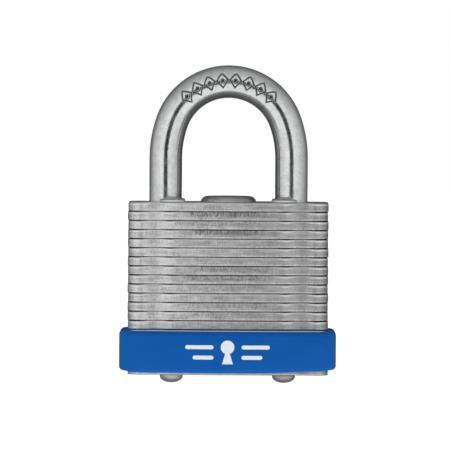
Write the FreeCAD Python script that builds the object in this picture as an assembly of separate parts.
import FreeCAD, Part
import math
import os

from FreeCAD import Vector

# A laminated steel padlock of the 40 mm class, closed, with a plastic bumper round its foot.
#
# Frame: +Z up along the shackle legs, +X to the right and -Y towards whoever faces the lock.
# The origin is on the ground, in the middle of the four lower rivet heads that the lock stands on.
# All lengths are millimetres and all angles degrees.
#
# The lock is drawn closed, with the key turned: both bolts are drawn back out of the shackle's
# notches, the pins are at the shear line, and the shackle is still pushed down. From here the
# shackle can be pulled up, or the plug turned back by a quarter turn to throw the bolts.

# ---- laminated body -------------------------------------------------------------------------
PLATE_COUNT = 19
PLATE_PITCH = 1.94
HALF_WIDTH = 21.4
HALF_DEPTH = 11.2
FRONT_RADIUS = 150.0    # the broad front and back are nearly flat
SHOULDER_RADIUS = 7.0   # they turn inwards at a round shoulder
SHOULDER_X = 10.9
VALLEY_RADIUS = 7.0     # a shallow valley sets the corner lobes off from the shoulders
LOBE_RADIUS = 2.8
LOBE_Y = 7.4
EDGE_ROUND = 0.32       # stamping leaves each plate's edge rounded
SCATTER_X = 0.06        # the plates don't line up perfectly on their rivets
SCATTER_Y = 0.05
RECESSED_PLATES = (16, 17)
RECESS = 0.8            # these plates are smaller all round and take the bumper's rib

# ---- rivets ---------------------------------------------------------------------------------
RIVET_X = 12.0
RIVET_Y = 7.2
RIVET_R = 1.9
RIVET_HOLE_R = 1.95
LOWER_HEAD_R = 2.45
LOWER_HEAD_BAND = 0.35
LOWER_HEAD_HEIGHT = 1.7
UPPER_HEAD_R = 2.85
UPPER_HEAD_TOP_R = 1.45
UPPER_HEAD_HEIGHT = 1.2
UPPER_HEAD_CROWN = 0.15

STACK_BOTTOM = LOWER_HEAD_HEIGHT
STACK_TOP = STACK_BOTTOM + PLATE_COUNT * PLATE_PITCH
CHANNEL_TOP = STACK_TOP - 2 * PLATE_PITCH       # plates 3 and 4 are cut out for the bolts
CHANNEL_BOTTOM = STACK_TOP - 4 * PLATE_PITCH
CAM_FLOOR_Z = STACK_TOP - 6 * PLATE_PITCH       # plates 5 and 6 are cut out for the cam
CYLINDER_FOOT = STACK_BOTTOM + PLATE_PITCH      # the bottom plate carries the cylinder

# ---- dome pressed into the top plate --------------------------------------------------------
DOME_BASE_R = 5.95
DOME_TOP_R = 4.3
DOME_HEIGHT = 1.3
DOME_WALL = 0.9

# ---- shackle --------------------------------------------------------------------------------
BAR_R = 3.5
LEG_X = 13.5
LEG_HOLE_R = 3.7
CROWN_R = 12.9          # centre line of the crown's arc
FLANK_R = 24.0          # centre line of the two flatter arcs that join the crown to the legs
CROWN_Z = STACK_TOP + 12.9
LIFT = 11.5             # how far the open shackle stands up
CLIP_THICKNESS = 1.5
CLIP_SLOT_HALF = 2.15
CLIP_Z = STACK_TOP - 8 * PLATE_PITCH + (PLATE_PITCH - CLIP_THICKNESS) / 2
TOE_Z = STACK_TOP - 5 * PLATE_PITCH + 0.2
NECK_TOP = STACK_TOP - 7 * PLATE_PITCH + 0.1
NECK_BOTTOM = CLIP_Z - 0.05 - LIFT
HEEL_FOOT = NECK_BOTTOM - 2.7
NECK_R = 2.0
HEEL_HEAD_R = 3.4
NOTCH_FLOOR_X = 11.8
NOTCH_TOP = CHANNEL_TOP + 0.5
NOTCH_BOTTOM = CHANNEL_BOTTOM - 0.4
TOE_CHAMFER = 0.6

# ---- locking mechanism ----------------------------------------------------------------------
BOLT_INNER_X = 1.2
BOLT_NOSE_X = 9.8       # drawn back
BOLT_HALF_Y = 3.0
BOLT_GAP = 0.1
BOLT_CHAMFER = 0.5
BOLT_PIN_R = 1.0
SLIDE_CLEARANCE = 0.05
SPIRAL_START = 3.2      # radius of the cam's spiral slot where the bolt is drawn back
SPIRAL_RISE = 1.5       # bolt travel for a quarter turn of the cam
SLOT_HALF_WIDTH = 1.2
CAM_R = 7.2
CAM_CAVITY_R = 8.0
CAM_FLOOR = 0.6
CAM_TOP_GAP = 0.2
CAM_Z = CAM_FLOOR_Z + 0.84
BOLT_PIN_GAP = 0.16

# ---- key cylinder ---------------------------------------------------------------------------
PLUG_R = 5.0
BORE_R = 5.05
PLUG_HEAD_R = 5.25
PLUG_HOLE_R = 5.35
PLUG_FACE_Z = STACK_BOTTOM + 0.1
HOUSING_R = 7.0
WING_X = 15.1
WING_HALF_Y = 2.6
CHAMBER_COUNT = 5
CHAMBER_PITCH = 3.6
CHAMBER_FIRST_Z = 8.0
CHAMBER_R = 1.2
PIN_R = 1.15
DRIVER_LENGTH = 3.74
COVER_X = 14.4
COVER_HALF_Y = 1.9
KEYWAY_HALF_WIDTH = 1.1
KEYWAY_LOW_Y = -3.6
KEYWAY_HIGH_Y = 3.0
TAIL_HALF_X = 1.0
TAIL_HALF_Y = 2.0

# ---- bumper ---------------------------------------------------------------------------------
BUMPER_BOTTOM = STACK_BOTTOM + 0.3
BUMPER_TOP = STACK_BOTTOM + 9.6
BUMPER_HALF_WIDTH = 23.2
BUMPER_HALF_DEPTH = 13.4
BUMPER_FRONT_RADIUS = 90.0
BUMPER_CORNER_RADIUS = 4.8
BUMPER_ROUND = 1.1
BUMPER_FIT = 0.1
EMBLEM_FLOOR_Y = -12.4

OUT = "parts"


# ---- small helpers --------------------------------------------------------------------------
def depth(plates):
    """Height of the seam that has this many plates above it."""
    return STACK_TOP - plates * PLATE_PITCH


def cylinder(x, y, z_low, z_high, radius):
    """Upright cylinder."""
    return Part.makeCylinder(radius, z_high - z_low, Vector(x, y, z_low))


def box(x_low, x_high, y_low, y_high, z_low, z_high):
    """Box between two corners."""
    size = (x_high - x_low, y_high - y_low, z_high - z_low)
    return Part.makeBox(*size, Vector(x_low, y_low, z_low))


def arc(cx, cy, radius, start, end):
    """Level arc about (cx, cy), counter-clockwise from start to end."""
    circle = Part.Circle(Vector(cx, cy, 0), Vector(0, 0, 1), radius)
    return Part.Arc(circle, math.radians(start), math.radians(end)).toShape()


def mirrored(shape, normal):
    """The shape seen in a mirror through the origin."""
    return shape.mirror(Vector(0, 0, 0), normal)


def four_ways(edges):
    """Edges of one quarter of an outline, and their images in the other three quarters."""
    right = edges + [mirrored(edge, Vector(0, 1, 0)) for edge in edges]
    return right + [mirrored(edge, Vector(1, 0, 0)) for edge in right]


def closed_face(edges):
    """Face inside a ring of edges given in any order."""
    return Part.Face(Part.Wire(Part.__sortEdges__(edges)))


def prism(face, z_low, z_high):
    """Level face drawn up from z_low to z_high."""
    lifted = face.copy()
    lifted.translate(Vector(0, 0, z_low))
    return lifted.extrude(Vector(0, 0, z_high - z_low))


def level_edges(solid, z_low, z_high):
    """Edges that lie flat at either height."""
    found = []
    for edge in solid.Edges:
        bounds = edge.BoundBox
        if bounds.ZLength > 1e-6:
            continue
        if min(abs(bounds.ZMin - z_low), abs(bounds.ZMin - z_high)) < 1e-6:
            found.append(edge)
    return found


def rounded_prism(face, z_low, z_high, radius):
    """Prism whose top and bottom outlines are rounded over."""
    solid = prism(face, z_low, z_high)
    return solid.makeFillet(radius, level_edges(solid, z_low, z_high))


def turned(profile):
    """Solid of revolution about Z from a closed ring of edges in the XZ plane."""
    return Part.Face(Part.Wire(profile)).revolve(Vector(0, 0, 0), Vector(0, 0, 1), 360)


def save(name, shape):
    """Write one node."""
    shape.exportStep(os.path.join(OUT, name + ".step"))
    bounds = shape.BoundBox
    size = (bounds.XLength, bounds.YLength, bounds.ZLength)
    print("%-18s %6.2f x %6.2f x %6.2f mm, %d solid(s), valid %s"
          % ((name,) + size + (len(shape.Solids), shape.isValid())))


# ---- outlines -------------------------------------------------------------------------------
def bearing(arrow):
    """Direction of a level arrow, from 0 to 360 degrees."""
    return math.degrees(math.atan2(arrow.y, arrow.x)) % 360


def touching_centre(near, near_reach, far, far_reach):
    """Point in front of two centres, at the given distance from each."""
    line = far - near
    span = line.Length
    along = (near_reach**2 - far_reach**2 + span**2) / (2 * span)
    aside = math.sqrt(near_reach**2 - along**2)
    line.normalize()
    return near + line * along + Vector(line.y, -line.x, 0) * aside


def plate_outline(grow):
    """Plan of a plate, made larger all round by grow.

    The broad front arc, a round shoulder, a hollow valley and a round corner lobe touch each other
    smoothly: the shoulder's circle lies inside the front's, and the valley's outside its neighbours.
    """
    front_y = FRONT_RADIUS - HALF_DEPTH
    inside = FRONT_RADIUS - SHOULDER_RADIUS
    shoulder = Vector(SHOULDER_X, front_y - math.sqrt(inside**2 - SHOULDER_X**2), 0)
    lobe = Vector(HALF_WIDTH - LOBE_RADIUS, -LOBE_Y, 0)
    valley = touching_centre(shoulder, SHOULDER_RADIUS + VALLEY_RADIUS,
                             lobe, LOBE_RADIUS + VALLEY_RADIUS)
    lean = math.degrees(math.asin(SHOULDER_X / inside))
    from_shoulder = bearing(valley - shoulder)
    towards_lobe = bearing(lobe - valley)
    quarter = [
        arc(0, front_y, FRONT_RADIUS + grow, 270, 270 + lean),
        arc(shoulder.x, shoulder.y, SHOULDER_RADIUS + grow, 270 + lean, from_shoulder),
        arc(valley.x, valley.y, VALLEY_RADIUS - grow, towards_lobe, from_shoulder - 180),
        arc(lobe.x, lobe.y, LOBE_RADIUS + grow, towards_lobe + 180, 360),
        Part.LineSegment(Vector(HALF_WIDTH + grow, -LOBE_Y, 0),
                         Vector(HALF_WIDTH + grow, 0, 0)).toShape(),
    ]
    return closed_face(four_ways(quarter))


def bumper_outline():
    """Plan of the bumper: a broad arc that runs smoothly into a round corner and a flat side."""
    front_y = BUMPER_FRONT_RADIUS - BUMPER_HALF_DEPTH
    corner_x = BUMPER_HALF_WIDTH - BUMPER_CORNER_RADIUS
    between = BUMPER_FRONT_RADIUS - BUMPER_CORNER_RADIUS
    corner_y = front_y - math.sqrt(between**2 - corner_x**2)
    half_angle = math.degrees(math.asin(corner_x / between))
    quarter = [
        arc(0, front_y, BUMPER_FRONT_RADIUS, 270, 270 + half_angle),
        arc(corner_x, corner_y, BUMPER_CORNER_RADIUS, 270 + half_angle, 360),
        Part.LineSegment(Vector(BUMPER_HALF_WIDTH, corner_y, 0),
                         Vector(BUMPER_HALF_WIDTH, 0, 0)).toShape(),
    ]
    return closed_face(four_ways(quarter))


# ---- body -----------------------------------------------------------------------------------
def rivet_places():
    """The four rivet centres."""
    return [(sx * RIVET_X, sy * RIVET_Y) for sx in (-1, 1) for sy in (-1, 1)]


def body_hollows():
    """Everything that the plates are punched for, as solids through the stack."""
    clip_low, clip_high = depth(8), depth(7)
    wing = WING_HALF_Y + SLIDE_CLEARANCE
    hollows = [cylinder(x, y, STACK_BOTTOM - 1, STACK_TOP + 1, RIVET_HOLE_R)
               for x, y in rivet_places()]
    hollows += [
        cylinder(LEG_X, 0, depth(5), STACK_TOP + 1, LEG_HOLE_R),
        cylinder(-LEG_X, 0, CYLINDER_FOOT, STACK_TOP + 1, LEG_HOLE_R),
        box(-LEG_X, LEG_X, -BOLT_HALF_Y - SLIDE_CLEARANCE, BOLT_HALF_Y + SLIDE_CLEARANCE,
            CHANNEL_BOTTOM, CHANNEL_TOP),
        cylinder(0, 0, CAM_FLOOR_Z, CHANNEL_BOTTOM, CAM_CAVITY_R),
        cylinder(0, 0, CYLINDER_FOOT, CAM_FLOOR_Z, HOUSING_R + SLIDE_CLEARANCE),
        box(0, WING_X + SLIDE_CLEARANCE, -wing, wing, CYLINDER_FOOT, CAM_FLOOR_Z),
        cylinder(0, 0, STACK_BOTTOM - 1, CYLINDER_FOOT, PLUG_HOLE_R),
        clip_blank(clip_low, clip_high, SLIDE_CLEARANCE),
    ]
    return hollows


def dome(base_r, top_r, height):
    """Pressed dome on the top plate: a flat top and a rounded flank."""
    diagonal = math.sqrt(0.5)
    foot = Vector(base_r, 0, 0)
    flank = Vector(top_r + (base_r - top_r) * diagonal, 0, height * diagonal)
    rim = Vector(top_r, 0, height)
    profile = [
        Part.LineSegment(Vector(0, 0, 0), foot).toShape(),
        Part.Arc(foot, flank, rim).toShape(),
        Part.LineSegment(rim, Vector(0, 0, height)).toShape(),
        Part.LineSegment(Vector(0, 0, height), Vector(0, 0, 0)).toShape(),
    ]
    return turned(profile)


def top_plate(blank):
    """Top plate with its pressed dome, hollow underneath."""
    raised = dome(DOME_BASE_R, DOME_TOP_R, DOME_HEIGHT)
    raised.translate(Vector(0, 0, STACK_TOP - 0.01))
    hollow = dome(DOME_BASE_R - DOME_WALL, DOME_TOP_R - DOME_WALL, DOME_HEIGHT)
    hollow.translate(Vector(0, 0, STACK_TOP - DOME_WALL))
    shaft = cylinder(0, 0, depth(1), STACK_TOP - DOME_WALL, DOME_BASE_R - DOME_WALL)
    return blank.fuse(raised).cut([hollow, shaft]).removeSplitter()


def plates():
    """The stack of plates from the top down, by name."""
    hollows = body_hollows()
    full = plate_outline(0)
    recessed = plate_outline(-RECESS)
    stack = {}
    for number in range(1, PLATE_COUNT + 1):
        low, high = depth(number), depth(number - 1)
        face = (recessed if number in RECESSED_PLATES else full).copy()
        face.translate(Vector(SCATTER_X * math.sin(2.4 * number),
                              SCATTER_Y * math.cos(1.7 * number), 0))
        plate = rounded_prism(face, low, high, EDGE_ROUND)
        if number == 1:
            plate = top_plate(plate)
        inside = [h for h in hollows if h.BoundBox.ZMin < high - 0.01 and h.BoundBox.ZMax > low + 0.01]
        plate = plate.cut(inside)
        name = {1: "top_plate", PLATE_COUNT: "bottom_plate"}.get(number, "plate_%02d" % number)
        stack[name] = plate.Solids[0]
    return stack


def cap_points(rim_r, height):
    """A point half way out, and the rim, of a round cap whose pole is at the origin, pole down."""
    sphere_r = (rim_r**2 + height**2) / (2 * height)
    half_way = rim_r / 2
    return Vector(half_way, 0, sphere_r - math.sqrt(sphere_r**2 - half_way**2)), Vector(rim_r, 0, height)


def lower_head():
    """Domed head: a short band, then a shallow cap down to the ground."""
    middle, band = cap_points(LOWER_HEAD_R, LOWER_HEAD_HEIGHT - LOWER_HEAD_BAND)
    profile = [
        Part.LineSegment(Vector(0, 0, STACK_BOTTOM), Vector(LOWER_HEAD_R, 0, STACK_BOTTOM)).toShape(),
        Part.LineSegment(Vector(LOWER_HEAD_R, 0, STACK_BOTTOM), band).toShape(),
        Part.Arc(band, middle, Vector(0, 0, 0)).toShape(),
        Part.LineSegment(Vector(0, 0, 0), Vector(0, 0, STACK_BOTTOM)).toShape(),
    ]
    return turned(profile)


def upper_head():
    """Bell-shaped head: a wide foot, a hollow flank and a small crowned top."""
    foot = Vector(UPPER_HEAD_R, 0, STACK_TOP)
    lip = Vector(UPPER_HEAD_R, 0, STACK_TOP + 0.15)
    waist = Vector((UPPER_HEAD_R + UPPER_HEAD_TOP_R) / 2 - 0.08, 0, STACK_TOP + 0.52)
    top = Vector(0, 0, STACK_TOP + UPPER_HEAD_HEIGHT)
    crown, shoulder = cap_points(UPPER_HEAD_TOP_R, UPPER_HEAD_CROWN)
    crown.z = top.z - crown.z
    shoulder.z = top.z - shoulder.z
    profile = [
        Part.LineSegment(Vector(0, 0, STACK_TOP), foot).toShape(),
        Part.LineSegment(foot, lip).toShape(),
        Part.Arc(lip, waist, shoulder).toShape(),
        Part.Arc(shoulder, crown, top).toShape(),
        Part.LineSegment(top, Vector(0, 0, STACK_TOP)).toShape(),
    ]
    return turned(profile)


def rivets():
    """Four rivets, each a shaft through the whole stack with a head on both ends."""
    shaft = cylinder(0, 0, STACK_BOTTOM - 0.2, STACK_TOP + 0.2, RIVET_R)
    rivet = shaft.fuse([lower_head(), upper_head()]).removeSplitter()
    placed = []
    for x, y in rivet_places():
        copy = rivet.copy()
        copy.translate(Vector(x, y, 0))
        placed.append(copy.Solids[0])
    return Part.makeCompound(placed)


# ---- shackle --------------------------------------------------------------------------------
def bent_bar(cx, cz, radius, start, end):
    """Round bar bent about an axis along Y through (cx, cz), from start to end above +X."""
    ring = Part.makeCircle(BAR_R, Vector(cx + radius, 0, cz), Vector(0, 0, 1))
    disc = Part.Face(Part.Wire(ring))
    axis = Vector(0, -1, 0)
    disc.rotate(Vector(cx, 0, cz), axis, start)
    return disc.revolve(Vector(cx, 0, cz), axis, end - start)


def shackle():
    """Bow of round bar with a short toe leg and a long heel leg, both notched for the bolts."""
    flank_cx = FLANK_R - LEG_X
    flank_cz = CROWN_Z - math.sqrt((FLANK_R - CROWN_R)**2 - flank_cx**2)
    meet = math.degrees(math.asin((CROWN_Z - flank_cz) / (FLANK_R - CROWN_R)))
    crown = bent_bar(0, CROWN_Z, CROWN_R, meet, 180 - meet)
    right = bent_bar(-flank_cx, flank_cz, FLANK_R, 0, meet)
    left = bent_bar(flank_cx, flank_cz, FLANK_R, 180 - meet, 180)
    toe = cylinder(LEG_X, 0, TOE_Z, flank_cz, BAR_R)
    toe = toe.makeChamfer(TOE_CHAMFER, level_edges(toe, TOE_Z, TOE_Z))
    heel = cylinder(-LEG_X, 0, NECK_TOP, flank_cz, BAR_R)
    neck = cylinder(-LEG_X, 0, NECK_BOTTOM, NECK_TOP, NECK_R)
    foot = cylinder(-LEG_X, 0, HEEL_FOOT, NECK_BOTTOM, HEEL_HEAD_R)
    bow = crown.fuse([right, left, toe, heel, neck, foot])
    notches = box(-NOTCH_FLOOR_X, NOTCH_FLOOR_X, -BAR_R - 1, BAR_R + 1, NOTCH_BOTTOM, NOTCH_TOP)
    return bow.cut(notches).removeSplitter()


def coil(centre_r, wire_r, height, turns):
    """Round-wire compression spring standing on z = 0."""
    rise = height - 2 * wire_r
    path = Part.makeHelix(rise / turns, rise, centre_r)
    section = Part.Wire(Part.makeCircle(wire_r, Vector(centre_r, 0, 0), Vector(0, 1, 0)))
    sweep = Part.Wire(path.Edges).makePipeShell([section], True, True)
    sweep.translate(Vector(0, 0, wire_r))
    return sweep


def shackle_spring():
    """Spring under the heel leg that lifts the shackle."""
    spring = coil(2.55, 0.4, HEEL_FOOT - CYLINDER_FOOT, 4)
    spring.translate(Vector(-LEG_X, 0, CYLINDER_FOOT))
    return spring


# ---- locking mechanism ----------------------------------------------------------------------
def clip_blank(z_low, z_high, gap):
    """Outer block of the heel clip, made larger all round by gap."""
    return box(-LEG_X - 4.4 - gap, -LEG_X + 3.6 + gap, -4.5 - gap, 4.5 + gap, z_low, z_high)


def heel_clip():
    """U-shaped clip round the heel leg's neck that stops the shackle from coming right out."""
    low, high = CLIP_Z, CLIP_Z + CLIP_THICKNESS
    slot = box(-LEG_X, 0, -CLIP_SLOT_HALF, CLIP_SLOT_HALF, low, high)
    hole = cylinder(-LEG_X, 0, low, high, CLIP_SLOT_HALF)
    return clip_blank(low, high, 0).cut([slot, hole])


def bolt_right():
    """Sliding bolt with a chamfered nose and a pin that stands down into the cam's slot."""
    low = CHANNEL_BOTTOM + BOLT_GAP
    high = CHANNEL_TOP - BOLT_GAP
    block = box(BOLT_INNER_X, BOLT_NOSE_X, -BOLT_HALF_Y, BOLT_HALF_Y, low, high)
    nose = [edge for edge in block.Edges if edge.BoundBox.XMin > BOLT_NOSE_X - 1e-6]
    block = block.makeChamfer(BOLT_CHAMFER, nose)
    pin_foot = CAM_Z + CAM_FLOOR + BOLT_PIN_GAP
    pin = cylinder(SPIRAL_START, 0, pin_foot, low + 0.5, BOLT_PIN_R)
    return block.fuse(pin).removeSplitter()


def spiral_slot(z_low, z_high):
    """Slot whose middle line climbs evenly from the drawn-back to the thrown radius."""
    def line(offset):
        points = []
        for step in range(13):
            share = step / 12
            radius = SPIRAL_START + SPIRAL_RISE * share + offset
            angle = math.radians(90 * share)
            points.append(Vector(radius * math.cos(angle), radius * math.sin(angle), z_low))
        curve = Part.BSplineCurve()
        curve.interpolate(points)
        return curve.toShape(), points[0], points[-1]

    inner, inner_start, inner_end = line(-SLOT_HALF_WIDTH)
    outer, outer_start, outer_end = line(SLOT_HALF_WIDTH)
    ends = [Part.LineSegment(inner_start, outer_start).toShape(),
            Part.LineSegment(inner_end, outer_end).toShape()]
    slot = closed_face([inner, outer] + ends).extrude(Vector(0, 0, z_high - z_low))
    rounds = [cylinder(SPIRAL_START, 0, z_low, z_high, SLOT_HALF_WIDTH),
              cylinder(0, SPIRAL_START + SPIRAL_RISE, z_low, z_high, SLOT_HALF_WIDTH)]
    return slot.fuse(rounds)


def cam():
    """Disc on the plug's tail with two spiral slots, one for each bolt's pin."""
    low = CAM_Z
    high = CHANNEL_BOTTOM - CAM_TOP_GAP
    right = spiral_slot(low + CAM_FLOOR, high + 1)
    left = right.copy()
    left.rotate(Vector(0, 0, 0), Vector(0, 0, 1), 180)
    tail = box(-TAIL_HALF_X, TAIL_HALF_X, -TAIL_HALF_Y, TAIL_HALF_Y, low - 1, high + 1)
    return cylinder(0, 0, low, high, CAM_R).cut([right, left, tail])


# ---- key cylinder ---------------------------------------------------------------------------
def chamber_heights():
    """Heights of the pin chambers, from the key's end inwards."""
    return [CHAMBER_FIRST_Z + CHAMBER_PITCH * i for i in range(CHAMBER_COUNT)]


def rod_x(radius, z, x_low, x_high):
    """Cylinder along X."""
    return Part.makeCylinder(radius, x_high - x_low, Vector(x_low, 0, z), Vector(1, 0, 0))


def rod_y(radius, z, y_low, y_high):
    """Cylinder along Y."""
    return Part.makeCylinder(radius, y_high - y_low, Vector(0, y_low, z), Vector(0, 1, 0))


def cover_block():
    """Strip that closes the outer ends of the pin chambers."""
    return box(COVER_X, WING_X, -COVER_HALF_Y, COVER_HALF_Y,
               CHAMBER_FIRST_Z - 1.8, chamber_heights()[-1] + 1.8)


def cylinder_housing():
    """Round housing with a wing on the right that holds the pin chambers."""
    low, high = CYLINDER_FOOT, CAM_FLOOR_Z
    barrel = cylinder(0, 0, low, high, HOUSING_R)
    wing = box(0, WING_X, -WING_HALF_Y, WING_HALF_Y, low, high)
    chambers = [rod_x(CHAMBER_R, z, BORE_R - 1, COVER_X) for z in chamber_heights()]
    bore = cylinder(0, 0, low - 1, high + 1, BORE_R)
    return barrel.fuse(wing).cut([bore, cover_block()] + chambers)


def plug():
    """Turning plug with its head, keyway, pin holes, clip groove and the tail for the cam.

    The key has turned it by a quarter turn, so its pin holes face the back.
    """
    top = CAM_FLOOR_Z
    body = cylinder(0, 0, PLUG_FACE_Z, top + 0.8, PLUG_R)
    head = cylinder(0, 0, PLUG_FACE_Z, CYLINDER_FOOT - SLIDE_CLEARANCE, PLUG_HEAD_R)
    tail = box(-TAIL_HALF_X, TAIL_HALF_X, -TAIL_HALF_Y, TAIL_HALF_Y, top + 0.5, top + 3.2)
    groove = cylinder(0, 0, top + 0.1, top + 0.7, PLUG_R + 1)
    groove = groove.cut(cylinder(0, 0, top, top + 1, PLUG_R - 1.2))
    keyway = box(-KEYWAY_HALF_WIDTH, KEYWAY_HALF_WIDTH, KEYWAY_LOW_Y, KEYWAY_HIGH_Y,
                 PLUG_FACE_Z - 1, top - 0.8)
    wards = box(0.35, KEYWAY_HALF_WIDTH + 0.5, -1.4, -0.4, PLUG_FACE_Z - 1, top - 0.8)
    wards = wards.fuse(box(-KEYWAY_HALF_WIDTH - 0.5, -0.35, 0.4, 1.3, PLUG_FACE_Z - 1, top - 0.8))
    holes = [rod_y(CHAMBER_R, z, 0, PLUG_R + 1) for z in chamber_heights()]
    return body.fuse([head, tail]).cut([groove, keyway.cut(wards)] + holes).removeSplitter()


def plug_clip():
    """Open ring in the plug's groove, behind the housing."""
    low = CAM_FLOOR_Z + 0.12
    high = low + 0.56
    ring = cylinder(0, 0, low, high, PLUG_R + 1.2).cut(cylinder(0, 0, low, high, PLUG_R - 1.2))
    return ring.cut(box(-2.2, 2.2, 0, PLUG_R + 2, low, high))


def key_pin(index):
    """Pin in the plug: pointed towards the keyway, rounded off level with the plug outside."""
    z = chamber_heights()[index]
    tip_y = 1.5 + 0.35 * math.sin(2.0 * index)
    point = Part.makeCone(0.35, PIN_R, 0.8, Vector(0, tip_y, z), Vector(0, 1, 0))
    rod = rod_y(PIN_R, z, tip_y + 0.8, PLUG_R + 1)
    return point.fuse(rod).common(cylinder(0, 0, z - 2, z + 2, PLUG_R - 0.03)).removeSplitter()


def driver_pin(index):
    """Pin in the housing, resting on the plug's wall."""
    start = BORE_R + 0.01
    return rod_x(PIN_R, chamber_heights()[index], start, start + DRIVER_LENGTH)


def pin_spring(index):
    """Spring between a driver pin and the chamber cover."""
    start = BORE_R + 0.01 + DRIVER_LENGTH
    spring = coil(0.8, 0.16, COVER_X - start, 7)
    spring.rotate(Vector(0, 0, 0), Vector(0, 1, 0), 90)
    spring.translate(Vector(start, 0, chamber_heights()[index]))
    return spring


# ---- bumper ---------------------------------------------------------------------------------
def emblem_prism():
    """Plain keyhole with two short bars on each side, drawn back from in front of the bumper."""
    middle = (BUMPER_BOTTOM + BUMPER_TOP) / 2
    back = EMBLEM_FLOOR_Y
    length = BUMPER_HALF_DEPTH + 1 + back

    def disc(x, z, radius):
        return Part.makeCylinder(radius, length, Vector(x, back, z), Vector(0, -1, 0))

    foot = Part.Wire(Part.makePolygon([Vector(-0.5, back, middle + 0.6), Vector(-1.15, back, middle - 2.5),
                                       Vector(1.15, back, middle - 2.5), Vector(0.5, back, middle + 0.6),
                                       Vector(-0.5, back, middle + 0.6)]))
    shapes = [disc(0, middle + 1.1, 1.45), Part.Face(foot).extrude(Vector(0, -length, 0))]
    marks = shapes[0].fuse(shapes[1])
    solids = [marks]
    for side in (-1, 1):
        for height, reach in ((1.1, 8.6), (-1.1, 7.0)):
            near, far = sorted((side * 3.4, side * reach))
            bar = box(near, far, back - length, back, middle + height - 0.42, middle + height + 0.42)
            ends = [disc(near, middle + height, 0.42), disc(far, middle + height, 0.42)]
            solids.append(bar.fuse(ends).removeSplitter())
    return Part.makeCompound(solids)


def bumper_parts():
    """Plastic band round the foot of the stack, and its white inlay."""
    solid = rounded_prism(bumper_outline(), BUMPER_BOTTOM, BUMPER_TOP, BUMPER_ROUND)
    opening = prism(plate_outline(BUMPER_FIT), BUMPER_BOTTOM - 1, BUMPER_TOP + 1)
    rib_low, rib_high = depth(17) + 0.15, depth(15) - 0.15
    rib = prism(plate_outline(BUMPER_FIT), rib_low, rib_high)
    rib = rib.cut(prism(plate_outline(-RECESS + 0.12), rib_low, rib_high))
    inlay = emblem_prism()
    band = solid.cut(opening.cut(rib))
    marks = Part.makeCompound([solid.common(mark).Solids[0] for mark in inlay.Solids])
    return band.cut(inlay), marks


def main():
    os.makedirs(OUT, exist_ok=True)
    for name, plate in plates().items():
        save(name, plate)
    save("rivets", rivets())
    band, marks = bumper_parts()
    save("bumper", band)
    save("bumper_emblem", marks)
    save("shackle", shackle())
    save("shackle_spring", shackle_spring())
    save("heel_clip", heel_clip())
    right = bolt_right()
    save("bolt_right", right)
    save("bolt_left", mirrored(right, Vector(1, 0, 0)))
    save("cam", cam())
    save("cylinder_housing", cylinder_housing())
    save("chamber_cover", cover_block())
    save("plug", plug())
    save("plug_clip", plug_clip())
    for index in range(CHAMBER_COUNT):
        save("key_pin_%d" % (index + 1), key_pin(index))
        save("driver_pin_%d" % (index + 1), driver_pin(index))
        save("pin_spring_%d" % (index + 1), pin_spring(index))


main()
